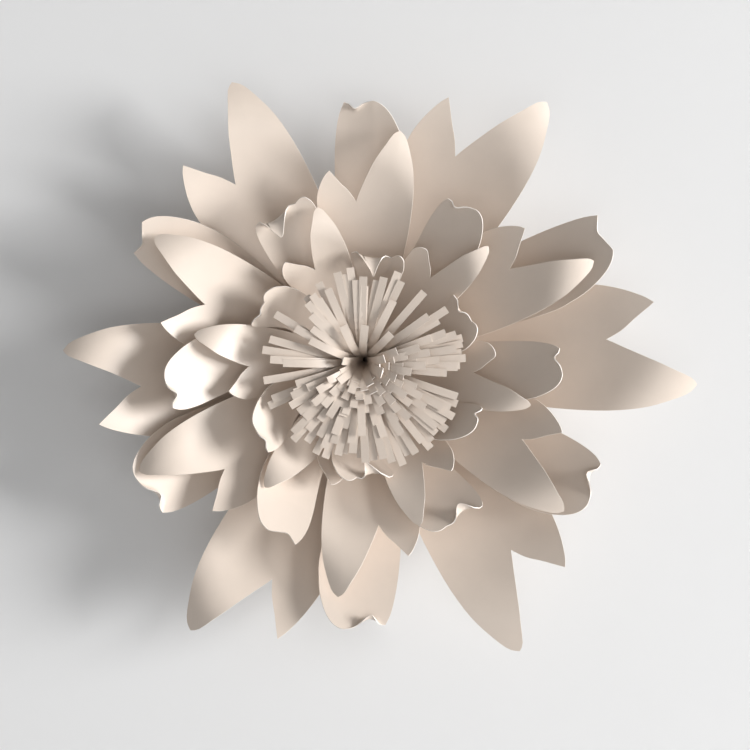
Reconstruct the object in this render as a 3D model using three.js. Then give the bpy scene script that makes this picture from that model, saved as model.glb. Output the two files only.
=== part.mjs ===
// A giant paper flower that hangs flat on a wall. Three layers of six card petals stand round a rolled
// fringe, all glued to a round card backing. Millimetres, +Z up. The flower faces -Y, its middle lies on
// the Y axis, and the back of the backing lies in the wall's plane, y = 0.
//
// A petal is one sheet of card with three lobes. Going anticlockwise, as a person facing the flower sees
// it, they are a broad wavy lobe whose edge rolls forward, a long round-tipped lobe that curls back, and
// a short pointed lobe. A petal is worked out in polar form about the flower's axis. "turn" is the angle
// in degrees from the middle of its long lobe, and "share" is a radius divided by the petal's reach.

import * as THREE from 'three';

const PAPER_COLOUR = 0xe0d0bf;
const CARD_THICKNESS = 0.5;

const BACKING_RADIUS = 75;
const BACKING_THICKNESS = 3;
const BACKING_SIDES = 48;

const HALF_PETAL_TURN = 34;
const PETAL_MIDDLE_TURN = -7;

// The cut edge of every petal, from its anticlockwise side to its clockwise side.
const PETAL_EDGE = [
  { turn: 27, share: 0.5 },
  { turn: 25.5, share: 0.67 },
  { turn: 21.5, share: 0.77 },
  { turn: 17.2, share: 0.88 },
  { turn: 13.5, share: 0.8 },
  { turn: 9.8, share: 0.72 },
  { turn: 7, share: 0.81 },
  { turn: 4.5, share: 0.9 },
  { turn: 2, share: 0.975 },
  { turn: 0, share: 1 },
  { turn: -2, share: 0.98 },
  { turn: -4.6, share: 0.9 },
  { turn: -7.5, share: 0.76 },
  { turn: -9.5, share: 0.62 },
  { turn: -12, share: 0.47 },
  { turn: -15.5, share: 0.52 },
  { turn: -17.5, share: 0.64 },
  { turn: -20, share: 0.74 },
  { turn: -24, share: 0.8 },
  { turn: -28.8, share: 0.81 },
  { turn: -33.5, share: 0.77 },
  { turn: -38, share: 0.69 },
  { turn: -41, share: 0.5 },
];

// The rows of a petal's mesh, as parts of the way from its foot to its edge. That way is walked in steps
// of WALK_STEP, and the last one before the roll is never shorter than LEAST_STEP.
const PETAL_ROWS = [0, 0.4, 0.7, 0.86, 0.94, 1];
const WALK_STEP = 1;
const LEAST_STEP = 1e-6;

// The long lobe's tip curls back between these turns, from this share of the reach outwards.
const CURL_HALF_TURN = 11;
const CURL_FROM_SHARE = 0.74;

// The wavy lobe's edge rolls forward between these turns.
const ROLL_MIDDLE_TURN = -23.5;
const ROLL_HALF_TURN = 7.5;
const ROLL_RADIUS = 8;

// Each layer's petals rise towards the viewer by "slopes", in degrees, at these shares of the reach.
const SLOPE_SHARES = [0, 0.4, 0.75, 1];

const LAYERS = [
  {
    name: 'outer',
    footRadius: 18,
    footHeight: 6,
    slopes: [10, 15, 24, 12],
    curl: 42,
    flap: 13,
    petals: [
      { direction: -4.3, reach: 289 },
      { direction: 54.7, reach: 273 },
      { direction: 115.6, reach: 267 },
      { direction: 178.3, reach: 262 },
      { direction: 237.2, reach: 280 },
      { direction: 298, reach: 286 },
    ],
  },
  {
    name: 'middle',
    footRadius: 18,
    footHeight: 13,
    slopes: [19, 25, 33, 22],
    curl: 50,
    flap: 12,
    petals: [
      { direction: 23.2, reach: 213 },
      { direction: 81.1, reach: 198 },
      { direction: 149.8, reach: 208 },
      { direction: 206.4, reach: 216 },
      { direction: 263.6, reach: 205 },
      { direction: 322.7, reach: 214 },
    ],
  },
  {
    name: 'inner',
    footRadius: 18,
    footHeight: 20,
    slopes: [28, 33, 40, 30],
    curl: 50,
    flap: 10,
    petals: [
      { direction: 42.2, reach: 143 },
      { direction: 107.3, reach: 136 },
      { direction: 171.7, reach: 147 },
      { direction: 232.1, reach: 139 },
      { direction: 288.4, reach: 149 },
      { direction: 344.5, reach: 147 },
    ],
  },
];

// Each petal is tipped like a turbine blade, so that its clockwise side passes in front of the next
// petal's anticlockwise side. Its two sides also stand forward of its middle, as in a shallow cup.
const FOOT_TILT = 1.6;
const EDGE_TILT = 12;
const CUP_DEPTH = 14;

// The rolled fringe's three strips. A profile runs along a strip from its glued foot to its cut tips,
// and the first cutFrom points of it are the uncut band. Near the middle, where there isn't room for full
// widths, strips take up STRIP_COVER of the way round.
const STRIP_WIDTH = 6.35;
const STRIP_COVER = 0.8;
const BAND_THICKNESS = 1.5;
const FRINGES = [
  {
    name: 'fringe_outer',
    strips: 30,
    cutFrom: 2,
    profile: [[14, 3.4], [15, 26], [30, 52], [48, 73], [67, 86], [88, 93]],
  },
  {
    name: 'fringe_middle',
    strips: 20,
    cutFrom: 2,
    profile: [[9.5, 3.4], [10, 30], [20, 63], [32, 84], [47, 95], [64, 100]],
  },
  {
    name: 'fringe_inner',
    strips: 12,
    cutFrom: 2,
    profile: [[5, 3.4], [5.5, 34], [11, 71], [18, 91], [27, 102], [38, 106]],
  },
];

const radians = THREE.MathUtils.degToRad;

function paper() {
  return new THREE.MeshStandardMaterial({ color: PAPER_COLOUR, roughness: 0.9, metalness: 0 });
}

function namedMesh(name, geometry) {
  const mesh = new THREE.Mesh(geometry, paper());
  mesh.name = name;
  return mesh;
}

// A point at a radius and turn about the flower's axis, and a height in front of y = 0.
function polarPoint(radius, turn, height) {
  const angle = radians(turn);
  return new THREE.Vector3(radius * Math.cos(angle), -height, radius * Math.sin(angle));
}

// The value at x of a line through the points (xs[i], ys[i]), with xs rising.
function interpolate(xs, ys, x) {
  let i = 1;
  while (i < xs.length - 1 && x > xs[i]) i += 1;
  const part = THREE.MathUtils.clamp((x - xs[i - 1]) / (xs[i] - xs[i - 1]), 0, 1);
  return THREE.MathUtils.lerp(ys[i - 1], ys[i], part);
}

// A smooth bump, 1 at the middle and 0 from halfWidth away.
function bump(x, middle, halfWidth) {
  return 1 - THREE.MathUtils.smoothstep(Math.abs(x - middle) / halfWidth, 0, 1);
}

// Gives each point of a sheet's front, points[column][row], its partner on the sheet's back. Columns run
// anticlockwise and rows outwards.
function withBack(points, wraps, thicknessOf) {
  return points.map((column, i) => column.map((front, j) => {
    const before = wraps ? points.at(i - 1) : points[Math.max(i - 1, 0)];
    const after = wraps ? points[(i + 1) % points.length] : points[Math.min(i + 1, points.length - 1)];
    const along = after[j].clone().sub(before[j]);
    const outwards = column[Math.min(j + 1, column.length - 1)].clone().sub(column[Math.max(j - 1, 0)]);
    const normal = outwards.cross(along).normalize();
    return { front, back: front.clone().addScaledVector(normal, -thicknessOf(j)) };
  }));
}

// A thin closed solid from the points of a sheet's front. isCut(column, row) leaves a cell of the grid
// out, and wraps joins the last column to the first.
function sheetSolid(points, { thicknessOf, wraps = false, isCut = () => false }) {
  const grid = withBack(points, wraps, thicknessOf);
  const triangles = [];
  const columns = wraps ? grid.length : grid.length - 1;
  const rows = grid[0].length - 1;
  const isOpen = (column, row) => {
    const i = wraps ? (column + columns) % columns : column;
    return i < 0 || i >= columns || row < 0 || row >= rows || isCut(i, row);
  };
  const addQuad = (p, q, r, s) => triangles.push(p, q, r, p, r, s);
  for (let i = 0; i < columns; i += 1) {
    for (let j = 0; j < rows; j += 1) {
      if (isCut(i, j)) continue;
      const near = grid[i];
      const far = grid[(i + 1) % grid.length];
      const corners = [near[j], near[j + 1], far[j + 1], far[j]];
      const neighbours = [[i - 1, j], [i, j + 1], [i + 1, j], [i, j - 1]];
      const [a, b, c, d] = corners;
      addQuad(a.front, b.front, c.front, d.front);
      addQuad(a.back, d.back, c.back, b.back);
      neighbours.forEach(([column, row], side) => {
        if (!isOpen(column, row)) return;
        const from = corners[side];
        const to = corners[(side + 1) % corners.length];
        addQuad(to.front, from.front, from.back, to.back);
      });
    }
  }
  return new THREE.BufferGeometry().setFromPoints(triangles);
}

// How steeply a petal rises at a share of its reach, in radians.
function petalSlope(layer, turn, share) {
  const rise = interpolate(SLOPE_SHARES, layer.slopes, share);
  const pastStart = THREE.MathUtils.smoothstep(share, CURL_FROM_SHARE, 1);
  return radians(rise - layer.curl * pastStart * bump(turn, 0, CURL_HALF_TURN));
}

// The height that tilt and cupping add to a petal.
function petalLift(turn, share) {
  const tilt = THREE.MathUtils.lerp(FOOT_TILT, EDGE_TILT, share);
  const side = (turn - PETAL_MIDDLE_TURN) / HALF_PETAL_TURN;
  return -tilt * (turn / HALF_PETAL_TURN) + CUP_DEPTH * share * share * side * side;
}

// One line from a petal's foot to its edge, walked in short steps.
function petalLine(layer, reach, { turn, share: edgeShare }) {
  const rolled = bump(turn, ROLL_MIDDLE_TURN, ROLL_HALF_TURN);
  const stopRadius = reach * edgeShare - ROLL_RADIUS * rolled;
  const line = [];
  let radius = layer.footRadius;
  let rise = 0;
  let slope = 0;
  const walk = (length) => {
    line.push(polarPoint(radius, turn, rise + petalLift(turn, radius / reach)));
    radius += length * Math.cos(slope);
    rise += length * Math.sin(slope);
  };
  while (radius < stopRadius) {
    slope = petalSlope(layer, turn, radius / reach);
    const left = (stopRadius - radius) / Math.cos(slope);
    walk(Math.min(WALK_STEP, left + LEAST_STEP));
  }
  const flap = layer.flap * rolled;
  for (let rolledLength = 0; rolledLength < flap; rolledLength += WALK_STEP) {
    walk(WALK_STEP);
    slope += WALK_STEP / ROLL_RADIUS;
  }
  walk(0);
  return line;
}

// The points of one column of a petal's mesh.
function petalColumn(layer, reach, edgePoint) {
  const line = petalLine(layer, reach, edgePoint);
  return PETAL_ROWS.map((part) => {
    const place = part * (line.length - 1);
    return line[Math.floor(place)].clone().lerp(line[Math.ceil(place)], place % 1);
  });
}

function petalGeometry(layer, reach) {
  const anticlockwise = [...PETAL_EDGE].reverse();
  const points = anticlockwise.map((edgePoint) => petalColumn(layer, reach, edgePoint));
  return sheetSolid(points, { thicknessOf: () => CARD_THICKNESS });
}

function petalLayer(layer) {
  const group = new THREE.Group();
  group.position.y = -layer.footHeight;
  layer.petals.forEach(({ direction, reach }, index) => {
    const petal = namedMesh(`${layer.name}_petal_${index + 1}`, petalGeometry(layer, reach));
    petal.rotation.y = -radians(direction);
    group.add(petal);
  });
  return group;
}

// A fringed strip rolled into a ring: an uncut band at its foot, then separate strips that splay out.
function fringeGeometry({ strips, cutFrom, profile }) {
  const pitch = 360 / strips;
  const widestTurn = pitch * STRIP_COVER;
  const points = [];
  for (let column = 0; column < strips * 2; column += 1) {
    const strip = Math.floor(column / 2);
    const side = column % 2 === 0 ? -0.5 : 0.5;
    points.push(profile.map(([radius, height]) => {
      const width = Math.min(widestTurn, THREE.MathUtils.radToDeg(STRIP_WIDTH / radius));
      return polarPoint(radius, strip * pitch + side * width, height);
    }));
  }
  return sheetSolid(points, {
    thicknessOf: (row) => (row < cutFrom ? BAND_THICKNESS : CARD_THICKNESS),
    wraps: true,
    isCut: (column, row) => column % 2 === 1 && row >= cutFrom - 1,
  });
}

// The card disc that everything is glued to. Its back is the face that goes against the wall.
function backingDisc() {
  const disc = new THREE.CylinderGeometry(BACKING_RADIUS, BACKING_RADIUS, BACKING_THICKNESS, BACKING_SIDES);
  const mesh = namedMesh('backing_disc', disc);
  mesh.position.y = -BACKING_THICKNESS / 2;
  return mesh;
}

const flower = new THREE.Group();
flower.add(backingDisc());
LAYERS.forEach((layer) => flower.add(petalLayer(layer)));
FRINGES.forEach((fringe) => flower.add(namedMesh(fringe.name, fringeGeometry(fringe))));

export default flower;
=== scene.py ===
"""A giant paper flower on a pale wall: card petals with rolled edges round a fringed middle.

Metres, +Z up. The flower faces -Y and its middle is on the Y axis. A petal is worked out in polar form
about that axis: "turn" is the angle in degrees from the middle of its long lobe, anticlockwise as seen
from the front, and "share" is a radius divided by the petal's reach.
"""

import math
import random

import bpy
import numpy as np
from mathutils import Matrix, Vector


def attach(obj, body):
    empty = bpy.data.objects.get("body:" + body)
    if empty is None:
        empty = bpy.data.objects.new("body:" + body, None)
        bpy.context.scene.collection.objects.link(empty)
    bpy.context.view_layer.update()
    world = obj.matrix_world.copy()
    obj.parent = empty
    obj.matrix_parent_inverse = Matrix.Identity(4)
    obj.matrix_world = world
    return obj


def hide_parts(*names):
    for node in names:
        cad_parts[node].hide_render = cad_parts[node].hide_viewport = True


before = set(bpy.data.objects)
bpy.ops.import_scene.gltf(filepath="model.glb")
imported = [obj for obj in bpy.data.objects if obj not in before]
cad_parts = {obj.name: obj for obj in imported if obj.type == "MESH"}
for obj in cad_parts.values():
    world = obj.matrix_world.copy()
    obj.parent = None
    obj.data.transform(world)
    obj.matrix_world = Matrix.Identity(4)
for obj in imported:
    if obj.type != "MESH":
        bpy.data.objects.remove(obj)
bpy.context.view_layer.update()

SEED = 7
# The card is thick enough for its cut edges to show.
CARD_THICKNESS = 0.0009
STRIP_WIDTH = 0.0067
STRIP_THICKNESS = 0.0008
STRIP_ROWS = 16
STRIP_TOP = 0.104

# The pattern that every petal is cut from: one list of (turn, share) for each stretch of its edge
# between two corners.
SIDE_TURNS = (-41.0, 27.0)
HUMP = (-30.0, 0.787)
WAVY_TIP = (-22.0, 0.80)
DEEP_NOTCH = (-12.0, 0.45)
NOTCH = (9.8, 0.72)
SMALL_TIP = (17.2, 0.88)
EDGE_STRETCHES = [
    [(-41, 0.50), (-40.2, 0.59), (-38.4, 0.67), (-35.5, 0.74), (-33, 0.775), HUMP, (-27.4, 0.777),
     (-25, 0.77), WAVY_TIP],
    [WAVY_TIP, (-20.8, 0.775), (-18.8, 0.70), (-17, 0.61), (-15.3, 0.52), (-13.8, 0.468), DEEP_NOTCH],
    [DEEP_NOTCH, (-10.8, 0.54), (-9.3, 0.64), (-7.6, 0.745), (-5.8, 0.835),
     (-3.6, 0.915), (-1.4, 0.982), (0, 1)],
    [(0, 1), (1.0, 0.985), (2.5, 0.93), (4.6, 0.862), (7.0, 0.79), NOTCH],
    [NOTCH, (11.5, 0.762), (14.4, 0.816), SMALL_TIP],
    [SMALL_TIP, (18.3, 0.862), (20, 0.826), (22, 0.778), (23.8, 0.725), (25.3, 0.66),
     (26.5, 0.58), (27, 0.50)],
]

SLOPE_SHARES = [0, 0.4, 0.75, 1]
LAYERS = {
    "outer": dict(foot_height=0.006, slopes=[10, 15, 24, 14]),
    "middle": dict(foot_height=0.013, slopes=[19, 25, 33, 24]),
    "inner": dict(foot_height=0.020, slopes=[28, 33, 40, 32]),
}
FOOT_RADIUS = 0.018
FOOT_TILT = 0.0016
EDGE_TILT = 0.012
CUP_DEPTH = 0.014
HALF_PETAL_TURN = 34
PETAL_MIDDLE_TURN = -7
ROLL_RADIUS = 0.005
ROLL_LIMIT = 165
# The long lobe's tip curls back from this share of the reach on, over this width. The curl starts a little
# nearer or further out from turn to turn, and fades out between these turns on each side.
CURL_FROM = 0.76
CURL_WIDTH = 0.30
CURL_SKEW = 0.010
CURL_SKEW_TURN = 12
CURL_FADE_IN = (-14, -9)
CURL_FADE_OUT = (6, 12)
WAVY_LIFT = 3
WAVY_LIFT_SHARES = (0.45, 0.7)
RISE_SHARES = (0.45, 0.75)
LEAN_SHARES = (0.42, 0.80)
ROLL_INSET = 0.6
FLAP_PEAK_TURN = -24.6
SHARP_ANGLE = math.radians(50)

# How each petal came to lie: the direction of its long lobe, its reach, the curl of the long lobe's tip in
# degrees, how many times steeper its outer part is than its layer's, the length of wavy edge rolled
# forward, and where (turn, share) its notch, small tip, wavy tip and hump are.
PETALS = {
    "outer_petal_1": dict(direction=-4.3, reach=0.289, curl=38, rise=0.9, flap=0.012,
                          notch=(9, 0.73), small=(15.5, 0.88), wavy=(-19.5, 0.77), hump=(-28.5, 0.79)),
    "outer_petal_2": dict(direction=54.7, reach=0.273, curl=36, rise=1.0, flap=0.002,
                          notch=(11.5, 0.71), small=(17.5, 0.87), wavy=(-23, 0.86), hump=(-31, 0.85)),
    "outer_petal_3": dict(direction=115.6, reach=0.267, curl=46, rise=1.0, flap=0.007,
                          notch=(11, 0.71), small=(17.5, 0.86), wavy=(-21, 0.83), hump=(-27.5, 0.83)),
    "outer_petal_4": dict(direction=178.3, reach=0.260, curl=50, rise=1.4, flap=0.003,
                          notch=(8.5, 0.75), small=(15.5, 0.90), wavy=(-23, 0.84), hump=(-30, 0.86)),
    "outer_petal_5": dict(direction=237.2, reach=0.280, curl=54, rise=1.0, flap=0.011,
                          notch=(10, 0.74), small=(15.5, 0.90), wavy=(-20, 0.78), hump=(-30, 0.79)),
    "outer_petal_6": dict(direction=298, reach=0.286, curl=40, rise=1.0, flap=0.012,
                          notch=(9.5, 0.73), small=(16, 0.87), wavy=(-23.5, 0.80), hump=(-32.5, 0.81)),
    "middle_petal_1": dict(direction=23.2, reach=0.213, curl=48, rise=1.0, flap=0.007,
                           notch=(8.5, 0.69), small=(16, 0.83), wavy=(-20, 0.78), hump=(-27.5, 0.79)),
    "middle_petal_2": dict(direction=81.1, reach=0.198, curl=50, rise=1.0, flap=0.007,
                           notch=(12.5, 0.69), small=(19.5, 0.83), wavy=(-18.5, 0.78), hump=(-28, 0.80)),
    "middle_petal_3": dict(direction=149.8, reach=0.208, curl=48, rise=0.95, flap=0.024,
                           notch=(11.5, 0.70), small=(20, 0.85), wavy=(-21, 0.71), hump=(-37, 0.70)),
    "middle_petal_4": dict(direction=206.4, reach=0.216, curl=50, rise=0.82, flap=0.010,
                           notch=(12, 0.71), small=(18.5, 0.85), wavy=(-12, 0.78), hump=(-21, 0.79)),
    "middle_petal_5": dict(direction=263.6, reach=0.205, curl=60, rise=1.0, flap=0,
                           notch=(11.5, 0.70), small=(19, 0.84), wavy=(-14, 0.82), hump=(-23, 0.81)),
    "middle_petal_6": dict(direction=322.7, reach=0.214, curl=46, rise=1.0, flap=0.015,
                           notch=(10.5, 0.71), small=(17, 0.84), wavy=(-13.5, 0.75), hump=(-26.5, 0.74)),
    "inner_petal_1": dict(direction=42.2, reach=0.143, curl=46, rise=1.0, flap=0.008,
                          notch=(8.5, 0.63), small=(17.5, 0.75), wavy=(-1, 0.66), hump=(-20.5, 0.68)),
    "inner_petal_2": dict(direction=107.3, reach=0.136, curl=50, rise=1.0, flap=0.024,
                          notch=(12.5, 0.65), small=(22, 0.79), wavy=(-8, 0.68), hump=(-33, 0.66)),
    "inner_petal_3": dict(direction=171.7, reach=0.147, curl=52, rise=0.92, flap=0.006,
                          notch=(12.5, 0.68), small=(21.5, 0.81), wavy=(-6, 0.69), hump=(-18, 0.67)),
    "inner_petal_4": dict(direction=232.1, reach=0.139, curl=50, rise=0.94, flap=0.006,
                          notch=(12.5, 0.67), small=(23, 0.80), wavy=(-8, 0.82), hump=(-20, 0.79)),
    "inner_petal_5": dict(direction=288.4, reach=0.149, curl=40, rise=1.0, flap=0.018,
                          notch=(11, 0.68), small=(19.5, 0.81), wavy=(-1, 0.69), hump=(-20, 0.68)),
    "inner_petal_6": dict(direction=344.5, reach=0.147, curl=46, rise=1.0, flap=0.007,
                          notch=(8, 0.64), small=(16.5, 0.76), wavy=(-6, 0.74), hump=(-13.5, 0.75)),
}
PETAL_COLUMNS = 110
PETAL_ROWS = 50
ROW_CROWDING = 1.7
# How finely a petal's lines are walked, up to the roll and along it.
WALK_STEPS = 120
ROLL_STEPS = 60

# The fringe strips that lie clear of the rest: azimuth in degrees and length out from the middle in mm.
CLEAR_STRIPS = [
    (68, 86), (64, 80), (75, 78), (79, 74), (88, 76), (87, 68), (93, 73), (96, 84), (101, 79), (104, 82),
    (117, 79), (113, 71), (128, 75), (124, 73), (122, 67), (130, 70), (134, 60), (142, 52), (153, 48),
    (149, 85), (150, 64), (164, 81), (171, 85), (178, 66), (176, 77), (189, 84), (196, 57), (201, 81),
    (204, 86), (204, 64), (210, 69), (217, 66), (219, 51), (225, 81), (228, 86), (231, 71), (235, 80),
    (243, 85), (240, 70), (246, 77), (249, 85), (251, 70), (256, 79), (259, 77), (265, 75), (270, 79),
    (273, 83), (278, 82), (281, 79), (284, 82), (288, 87), (293, 93), (298, 87), (302, 89), (301, 68),
    (310, 93), (309, 84), (313, 89), (318, 87), (323, 92), (321, 84), (326, 87), (331, 91), (333, 79),
    (335, 85), (338, 89), (342, 87), (355, 68), (355, 74), (359, 83), (0, 85), (4, 90), (7, 87), (10, 83),
    (12, 89), (15, 90), (18, 86), (21, 78), (33, 88), (30, 77), (36, 72), (49, 83), (63, 62), (83, 35),
    (113, 37), (46, 38), (165, 16), (250, 15), (268, 19), (2, 17), (345, 20), (310, 16),
]
# Shorter strips over them: how many, and the lengths they run between.
SHORT_STRIPS = 70
SPARSE = (26, 200)
GOLDEN = 0.618
SHORT_LENGTHS = (0.018, 0.068)
# A strip's foot stands further out the longer it is, by FOOT_SPREAD of its length. Its bend is BEND_LEAST
# and BEND_SPREAD of its length, times a random factor. Its end drops by up to DROP at DROP_LENGTH, and is
# lifted or lowered by up to TOP_JITTER. Its blade is turned by up to STRIP_TWIST degrees.
STRIP_FOOT = 0.0016
FOOT_SPREAD = 0.04
BEND_LEAST = 0.004
BEND_SPREAD = 0.14
BEND_FACTORS = (0.85, 1.15)
DROP = 0.012
DROP_LENGTH = 0.085
DROP_POWER = 1.5
TOP_JITTER = 0.0025
STRIP_CROWDING = 2.2
STRIP_TWIST = 6
STRIP_SIDES = 4
SHORT_STRIP_JITTER = 2
# The longest strips of the inner roll and of the middle roll.
INNER_LENGTH = 0.038
MIDDLE_LENGTH = 0.064
BAND_BOTTOM = 0.003
BAND_TOP = 0.030
BAND_RADIUS = 0.0095
BAND_INNER_RADIUS = 0.002
BAND_WRAPS = 5
BAND_WRAP_SIDES = 48
BAND_ROWS = 4
FRINGE_LEAN = (-0.0040, -0.0063)

CAMERA_DISTANCE = 1.8
FRAME_WIDTH = 0.675
SENSOR_WIDTH = 36
FLOWER_OFFSET = (-0.009, 0.0135)

PETAL_COLOUR = (0.755, 0.650, 0.560)
# The fringe card is the petal card painted darker: painted shade among the strips.
FRINGE_SHADED_COLOUR = (0.69, 0.59, 0.505)
# The cut edges are painted lighter than the card: a painted highlight where light catches them.
EDGE_HIGHLIGHT_COLOUR = (0.90, 0.84, 0.78)
WALL_COLOUR = (0.80, 0.80, 0.80)
FLOOR_COLOUR = (0.75, 0.75, 0.75)
CARD_ROUGHNESS = 0.42
CARD_SPECULAR = 0.6
DARK_SHADE = 0.965
LIGHT_SHADE = 1.03
TOOTH_STRENGTH = 0.12
TOOTH_DEPTH = 0.0004

WALL_GAP = 0.0006
WALL_HOLE = 0.0735
WALL_RADIUS = 4.0
WALL_SIDES = 96
FLOOR_Z = -1.2
FLOOR_FRONT = -5.0


def smoothstep(x, low=0.0, high=1.0):
    t = np.clip((x - low) / (high - low), 0, 1)
    return t * t * (3 - 2 * t)


def smooth_curve(points, x):
    """A smooth curve through points (x, y), x rising: cubic stretches with mean slopes at the points."""
    xs, ys = np.array(points, float).T
    slopes = np.gradient(ys, xs)
    i = np.clip(np.searchsorted(xs, x) - 1, 0, len(xs) - 2)
    width = xs[i + 1] - xs[i]
    t = np.clip((x - xs[i]) / width, 0, 1)
    return (
        (1 + 2 * t) * (1 - t) ** 2 * ys[i]
        + t * (1 - t) ** 2 * width * slopes[i]
        + t * t * (3 - 2 * t) * ys[i + 1]
        - t * t * (1 - t) * width * slopes[i + 1]
    )


def edge_share(turn):
    share = np.zeros_like(turn)
    for stretch in EDGE_STRETCHES:
        inside = (turn >= stretch[0][0]) & (turn <= stretch[-1][0])
        share[inside] = smooth_curve(stretch, turn[inside])
    return share


def polar_points(radius, turn, height):
    angle = np.radians(turn)
    across, up = radius * np.cos(angle), radius * np.sin(angle)
    return np.stack([across, np.broadcast_to(-height, across.shape), up], axis=-1)


def petal_turns(columns):
    """Column places: evenly spread, with the corners of the outline exactly on columns."""
    corners = [SIDE_TURNS[0]] + [stretch[-1][0] for stretch in EDGE_STRETCHES]
    turns = []
    for low, high in zip(corners[:-1], corners[1:]):
        count = max(4, round(columns * (high - low) / (corners[-1] - corners[0])))
        turns.extend(np.linspace(low, high, count, endpoint=False))
    return np.array(turns + [corners[-1]])


def petal_surface(name):
    """The grid of points [column, row] on the front of a petal: columns anticlockwise, rows outwards."""
    petal = PETALS[name]
    layer = LAYERS[name.split("_")[0]]
    reach = petal["reach"]
    turn = petal_turns(PETAL_COLUMNS)
    stretch = np.interp(
        turn,
        [-41, HUMP[0], WAVY_TIP[0], -14, DEEP_NOTCH[0], 5, NOTCH[0], SMALL_TIP[0], 24],
        [1, petal["hump"][1] / HUMP[1], petal["wavy"][1] / WAVY_TIP[1], 1, 1, 1,
         petal["notch"][1] / NOTCH[1], petal["small"][1] / SMALL_TIP[1], 1],
    )
    share = edge_share(turn) * stretch
    column_turn = turn[:, None]
    on_wavy = (column_turn < DEEP_NOTCH[0]).astype(float)

    # the flap is longest a third of the way from the wavy tip to the hump
    flap = petal["flap"] * smoothstep(np.interp(turn, [HUMP[0], FLAP_PEAK_TURN, WAVY_TIP[0]], [0, 1, 0]))
    rolled = smoothstep(flap, 0, 2 * ROLL_RADIUS)
    stop = reach * share - ROLL_RADIUS * rolled * ROLL_INSET

    # out along the columns: the slope at each radius gives the rise
    radius = FOOT_RADIUS + (stop[:, None] - FOOT_RADIUS) * np.linspace(0, 1, WALK_STEPS)[None, :]
    part = radius / reach
    slope = np.interp(part, SLOPE_SHARES, layer["slopes"])
    steeper = (petal["rise"] - 1) * (1 - on_wavy) + min(petal["rise"] - 1, 0) * on_wavy
    slope = slope * (1 + steeper * smoothstep(part, *RISE_SHARES))
    skew = np.clip(-column_turn, -CURL_SKEW_TURN, CURL_SKEW_TURN) * CURL_SKEW
    on_long = smoothstep(column_turn, *CURL_FADE_IN) * (1 - smoothstep(column_turn, *CURL_FADE_OUT))
    slope = slope - petal["curl"] * smoothstep(part + skew, CURL_FROM, CURL_FROM + CURL_WIDTH) * on_long
    slope = slope + WAVY_LIFT * on_wavy * smoothstep(part, *WAVY_LIFT_SHARES)
    slope = np.radians(slope)
    rise = np.zeros_like(radius)
    rise[:, 1:] = np.cumsum(np.tan((slope[:, 1:] + slope[:, :-1]) / 2) * np.diff(radius, axis=1), axis=1)

    # then round the roll and straight on along the flap
    step = flap[:, None] / ROLL_STEPS
    start = slope[:, -1:]
    angle = np.minimum(start + step * np.arange(1, ROLL_STEPS + 1) / ROLL_RADIUS, math.radians(ROLL_LIMIT))
    radius = np.hstack([radius, radius[:, -1:] + np.cumsum(np.cos(angle) * step, axis=1)])
    rise = np.hstack([rise, rise[:, -1:] + np.cumsum(np.sin(angle) * step, axis=1)])

    side = (column_turn - PETAL_MIDDLE_TURN) / HALF_PETAL_TURN
    part = radius / reach
    tilt = FOOT_TILT + (EDGE_TILT - FOOT_TILT) * part
    lift = -tilt * column_turn / HALF_PETAL_TURN + CUP_DEPTH * part**2 * side**2
    height = layer["foot_height"] + rise + lift

    # the lobes lean sideways towards their outer ends
    to_wavy, to_hump = petal["wavy"][0] - WAVY_TIP[0], petal["hump"][0] - HUMP[0]
    to_notch, to_small = petal["notch"][0] - NOTCH[0], petal["small"][0] - SMALL_TIP[0]
    lean = np.interp(
        turn,
        [-41, HUMP[0], WAVY_TIP[0], DEEP_NOTCH[0] - 0.01, DEEP_NOTCH[0], 0, NOTCH[0], SMALL_TIP[0], 27],
        [0.7 * to_hump, to_hump, to_wavy, to_wavy, 0, 0, to_notch, to_small, 0.8 * to_small],
    )
    leaning = column_turn + lean[:, None] * smoothstep(part, *LEAN_SHARES)

    # spread the rows along each column by its length, closer together towards the edge
    along = np.hypot(np.diff(radius, axis=1), np.diff(rise, axis=1))
    length = np.hstack([np.zeros((len(turn), 1)), np.cumsum(along, axis=1)])
    rows = 1 - (1 - np.linspace(0, 1, PETAL_ROWS)) ** ROW_CROWDING
    points = np.zeros((len(turn), PETAL_ROWS, 3))
    for column in range(len(turn)):
        places = rows * length[column, -1]
        measure = [np.interp(places, length[column], line[column]) for line in (radius, leaning, height)]
        points[column] = polar_points(measure[0], measure[1] + petal["direction"], measure[2])
    return points


def grid_normals(points):
    along = np.gradient(points, axis=0)
    outwards = np.gradient(points, axis=1)
    normals = np.cross(outwards, along)
    return normals / np.maximum(np.linalg.norm(normals, axis=2, keepdims=True), 1e-12)


def sheet_mesh(name, points, thickness):
    """A closed sheet of card from a grid of points on its front, with flat cut edges."""
    columns, rows = points.shape[:2]
    back = points - thickness * grid_normals(points)
    index = np.arange(columns * rows).reshape(columns, rows)
    corners = [index[:-1, :-1], index[:-1, 1:], index[1:, 1:], index[1:, :-1]]
    quads = np.stack(corners, axis=-1).reshape(-1, 4)
    behind = index.size
    rim = np.concatenate([index[:-1, 0], index[-1, :-1], index[:0:-1, -1], index[0, :0:-1]])
    after = np.roll(rim, -1)
    rim_quads = np.stack([rim, after, after + behind, rim + behind], axis=-1)
    faces = np.concatenate([quads, quads[:, ::-1] + behind, rim_quads])
    mesh = bpy.data.meshes.new(name)
    vertices = np.concatenate([points.reshape(-1, 3), back.reshape(-1, 3)])
    mesh.from_pydata(vertices.tolist(), [], faces.tolist())
    smooth = np.ones(len(faces), bool)
    smooth[len(quads) * 2:] = False
    mesh.polygons.foreach_set("use_smooth", smooth)
    # The rim faces take the second material: the cut edges, painted lighter as a painted highlight.
    mesh.polygons.foreach_set("material_index", (~smooth).astype(int))
    mesh.set_sharp_from_angle(angle=SHARP_ANGLE)
    return mesh


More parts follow.
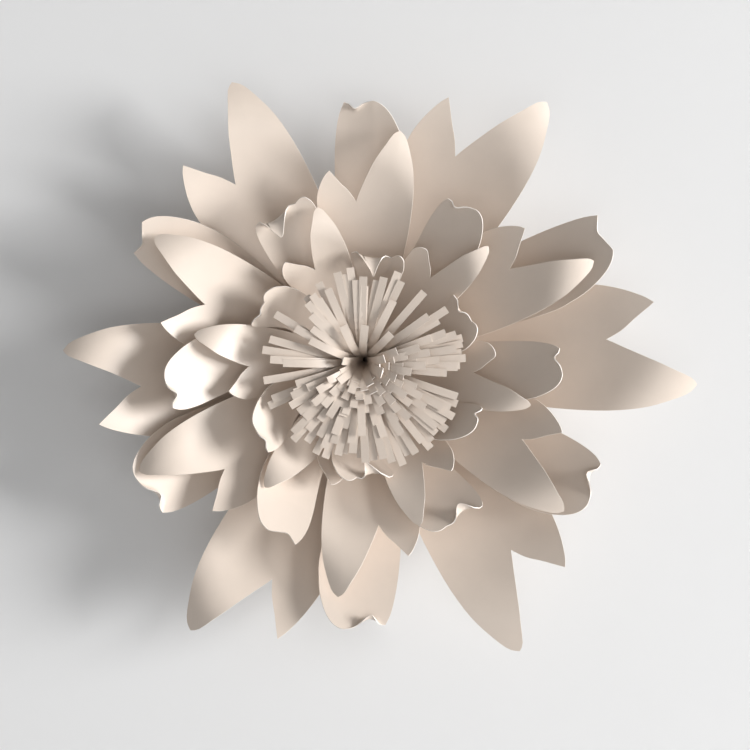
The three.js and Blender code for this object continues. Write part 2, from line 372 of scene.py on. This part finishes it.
def add_piece(name, mesh, materials, slot, *nodes):
    piece = bpy.data.objects.new(name, mesh)
    bpy.context.scene.collection.objects.link(piece)
    for material in materials:
        mesh.materials.append(material)
    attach(piece, "root")
    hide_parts(*nodes)


def card_material(name, colour):
    """Smooth card: a fine tooth, a soft sheen and slow changes of shade."""
    material = bpy.data.materials.new(name)
    material.use_nodes = True
    nodes, links = material.node_tree.nodes, material.node_tree.links
    shader = nodes["Principled BSDF"]
    shader.inputs["Roughness"].default_value = CARD_ROUGHNESS
    shader.inputs["Specular IOR Level"].default_value = CARD_SPECULAR
    place = nodes.new("ShaderNodeTexCoord")

    def noise(scale, detail, roughness=0.5):
        node = nodes.new("ShaderNodeTexNoise")
        node.inputs["Scale"].default_value = scale
        node.inputs["Detail"].default_value = detail
        node.inputs["Roughness"].default_value = roughness
        links.new(place.outputs["Object"], node.inputs["Vector"])
        return node

    shade = nodes.new("ShaderNodeValToRGB")
    shade.color_ramp.elements[0].position = 0.35
    shade.color_ramp.elements[1].position = 0.65
    shade.color_ramp.elements[0].color = (*[c * DARK_SHADE for c in colour], 1)
    shade.color_ramp.elements[1].color = (*[min(1, c * LIGHT_SHADE) for c in colour], 1)
    links.new(noise(14, 6, 0.62).outputs["Fac"], shade.inputs["Fac"])
    links.new(shade.outputs["Color"], shader.inputs["Base Color"])

    bump = nodes.new("ShaderNodeBump")
    bump.inputs["Strength"].default_value = TOOTH_STRENGTH
    bump.inputs["Distance"].default_value = TOOTH_DEPTH
    links.new(noise(1400, 5, 0.7).outputs["Fac"], bump.inputs["Height"])
    links.new(bump.outputs["Normal"], shader.inputs["Normal"])
    return material


def strip_line(length, draw):
    """The middle line of one fringe strip, as distances out from the middle and heights."""
    foot = STRIP_FOOT + FOOT_SPREAD * length
    bend = (BEND_LEAST + BEND_SPREAD * length) * draw.uniform(*BEND_FACTORS)
    drop = DROP * (length / DROP_LENGTH) ** DROP_POWER
    top = STRIP_TOP - drop + draw.uniform(-TOP_JITTER, TOP_JITTER)
    steps = np.linspace(0, 1, STRIP_ROWS) ** STRIP_CROWDING
    radius = foot + (length - foot) * steps
    height = BAND_TOP + (top - BAND_TOP) * (1 - np.exp(-(radius - foot) / bend))
    return radius, height


def strip_grid(azimuth, length, draw):
    """The grid of points [across, along] on the front of one fringe strip."""
    radius, height = strip_line(length, draw)
    out = polar_points(np.ones(1), np.array([azimuth]), np.zeros(1))[0]
    aside = polar_points(np.ones(1), np.array([azimuth + 90]), np.zeros(1))[0]
    twist = math.radians(draw.uniform(-STRIP_TWIST, STRIP_TWIST)) * np.linspace(0, 1, STRIP_ROWS)
    toward_viewer = np.array([0, -1, 0])
    lean = np.array([FRINGE_LEAN[0], 0, FRINGE_LEAN[1]])
    across = aside * np.cos(twist)[:, None] + toward_viewer * np.sin(twist)[:, None]
    rise = (height - BAND_TOP) / (STRIP_TOP - BAND_TOP)
    middle = out * radius[:, None] + toward_viewer * height[:, None] + lean * rise[:, None]
    places = np.linspace(0.5, -0.5, STRIP_SIDES) * STRIP_WIDTH
    return np.stack([middle + across * place for place in places])


def fringe_grids():
    """The strips' grids, sorted into the three rolls by length."""
    draw = random.Random(SEED)
    strips = [(azimuth, length / 1000) for azimuth, length in CLEAR_STRIPS]
    crowded = [azimuth for azimuth, length in CLEAR_STRIPS if not SPARSE[0] < azimuth < SPARSE[1]]
    for k in range(SHORT_STRIPS):
        part = (k * GOLDEN) % 1
        length = SHORT_LENGTHS[0] + (SHORT_LENGTHS[1] - SHORT_LENGTHS[0]) * part
        beside = crowded[round(k * len(crowded) / SHORT_STRIPS) % len(crowded)]
        strips.append((beside + draw.uniform(-SHORT_STRIP_JITTER, SHORT_STRIP_JITTER), length))
    grids = {"fringe_inner": [], "fringe_middle": [], "fringe_outer": []}
    for azimuth, length in strips:
        roll = "fringe_outer"
        if length < MIDDLE_LENGTH:
            roll = "fringe_middle"
        if length < INNER_LENGTH:
            roll = "fringe_inner"
        grids[roll].append(strip_grid(azimuth, length, draw))
    return grids


def band_grid():
    """The uncut edge of the fringe, rolled up tightly."""
    turn = np.linspace(0, 360 * BAND_WRAPS, BAND_WRAP_SIDES * BAND_WRAPS)
    radius = np.linspace(BAND_INNER_RADIUS, BAND_RADIUS, len(turn))
    heights = np.linspace(BAND_BOTTOM, BAND_TOP, BAND_ROWS)
    return np.stack([polar_points(radius, turn, np.full(len(turn), height)) for height in heights], axis=1)


def add_fringe(materials):
    for node, grids in fringe_grids().items():
        if node == "fringe_outer":
            grids.append(band_grid())
        meshes = [sheet_mesh(f"{node}_{k}", grid, STRIP_THICKNESS) for k, grid in enumerate(grids)]
        add_piece(node + "_strips", join_meshes(node + "_strips", meshes), materials, "fringe_card", node)


def join_meshes(name, meshes):
    vertices, faces, smooth, surfaces = [], [], [], []
    for mesh in meshes:
        start = len(vertices)
        vertices.extend(tuple(v.co) for v in mesh.vertices)
        faces.extend([start + i for i in p.vertices] for p in mesh.polygons)
        smooth.extend(p.use_smooth for p in mesh.polygons)
        surfaces.extend(p.material_index for p in mesh.polygons)
        bpy.data.meshes.remove(mesh)
    joined = bpy.data.meshes.new(name)
    joined.from_pydata(vertices, [], faces)
    joined.polygons.foreach_set("use_smooth", smooth)
    joined.polygons.foreach_set("material_index", surfaces)
    joined.set_sharp_from_angle(angle=SHARP_ANGLE)
    return joined


def stage_material(name, colour, one_sided):
    material = bpy.data.materials.new(name)
    material.use_nodes = True
    nodes, links = material.node_tree.nodes, material.node_tree.links
    shader = nodes["Principled BSDF"]
    shader.inputs["Base Color"].default_value = (*colour, 1)
    shader.inputs["Roughness"].default_value = 0.95
    shader.inputs["Specular IOR Level"].default_value = 0.1
    if one_sided:
        geometry = nodes.new("ShaderNodeNewGeometry")
        clear = nodes.new("ShaderNodeBsdfTransparent")
        mix = nodes.new("ShaderNodeMixShader")
        links.new(geometry.outputs["Backfacing"], mix.inputs[0])
        links.new(shader.outputs[0], mix.inputs[1])
        links.new(clear.outputs[0], mix.inputs[2])
        links.new(mix.outputs[0], nodes["Material Output"].inputs["Surface"])
    return material


def add_stage_mesh(name, vertices, faces, material):
    mesh = bpy.data.meshes.new(name)
    mesh.from_pydata(vertices, [], faces)
    mesh.materials.append(material)
    plane = bpy.data.objects.new(name, mesh)
    bpy.context.scene.collection.objects.link(plane)


def add_stage():
    """A wall behind the flower and a floor well below it. The wall is a ring, open behind the backing disc,
    so that the disc's back gets light."""
    turns = np.arange(WALL_SIDES) * 360 / WALL_SIDES
    rings = [polar_points(radius, turns, -WALL_GAP) for radius in (WALL_HOLE, WALL_RADIUS)]
    faces = []
    for i in range(WALL_SIDES):
        after = (i + 1) % WALL_SIDES
        faces.append((i, i + WALL_SIDES, after + WALL_SIDES, after))
    wall = stage_material("wall_paint", WALL_COLOUR, True)
    add_stage_mesh("wall", np.concatenate(rings).tolist(), faces, wall)
    corners = [
        (-WALL_RADIUS, FLOOR_FRONT, FLOOR_Z),
        (WALL_RADIUS, FLOOR_FRONT, FLOOR_Z),
        (WALL_RADIUS, WALL_GAP, FLOOR_Z),
        (-WALL_RADIUS, WALL_GAP, FLOOR_Z),
    ]
    floor = stage_material("floor_paint", FLOOR_COLOUR, False)
    add_stage_mesh("floor", corners, [(0, 1, 2, 3)], floor)


def add_area_light(name, place, target, size, energy):
    data = bpy.data.lights.new(name, "AREA")
    data.shape = "DISK"
    data.size = size
    data.energy = energy
    light = bpy.data.objects.new(name, data)
    light.location = place
    away = np.array(place) - np.array(target)
    light.rotation_euler = Vector(away).to_track_quat("Z", "Y").to_euler()
    bpy.context.scene.collection.objects.link(light)


def add_lights():
    add_area_light("window", (7.1, -3.05, 0.35), (0, -0.05, 0), 3.0, 780)
    add_area_light("fill", (0.4, -3.0, -1.4), (0, 0, 0), 3.0, 34)
    world = bpy.data.worlds.new("studio")
    world.use_nodes = True
    world.node_tree.nodes["Background"].inputs["Color"].default_value = (1, 1, 1, 1)
    world.node_tree.nodes["Background"].inputs["Strength"].default_value = 0.25
    bpy.context.scene.world = world


def add_camera():
    data = bpy.data.cameras.new("camera")
    data.sensor_width = SENSOR_WIDTH
    data.lens = SENSOR_WIDTH * CAMERA_DISTANCE / FRAME_WIDTH
    camera = bpy.data.objects.new("camera", data)
    camera.location = (-FLOWER_OFFSET[0], -CAMERA_DISTANCE, -FLOWER_OFFSET[1])
    camera.rotation_euler = (math.pi / 2, 0, 0)
    bpy.context.scene.collection.objects.link(camera)
    bpy.context.scene.camera = camera


add_camera()
card = card_material("petal_card", PETAL_COLOUR)
# The strips' card is painted darker than the petals' card: painted shade in the fringe.
shaded_strip_card = card_material("fringe_card", FRINGE_SHADED_COLOUR)
# Cut edges painted lighter: a painted highlight along every edge of the card.
edge_highlight_card = card_material("painted_edge_highlight", EDGE_HIGHLIGHT_COLOUR)
backing_card = card_material("backing_card", PETAL_COLOUR)
for petal_name in PETALS:
    petal_mesh = sheet_mesh(petal_name + "_card", petal_surface(petal_name), CARD_THICKNESS)
    add_piece(petal_name + "_card", petal_mesh, [card, edge_highlight_card], "petal_card", petal_name)
add_fringe([shaded_strip_card, edge_highlight_card])
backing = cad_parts["backing_disc"]
backing.data.materials.clear()
backing.data.materials.append(backing_card)
add_stage()
add_lights()
bpy.context.scene.view_settings.view_transform = "Standard"
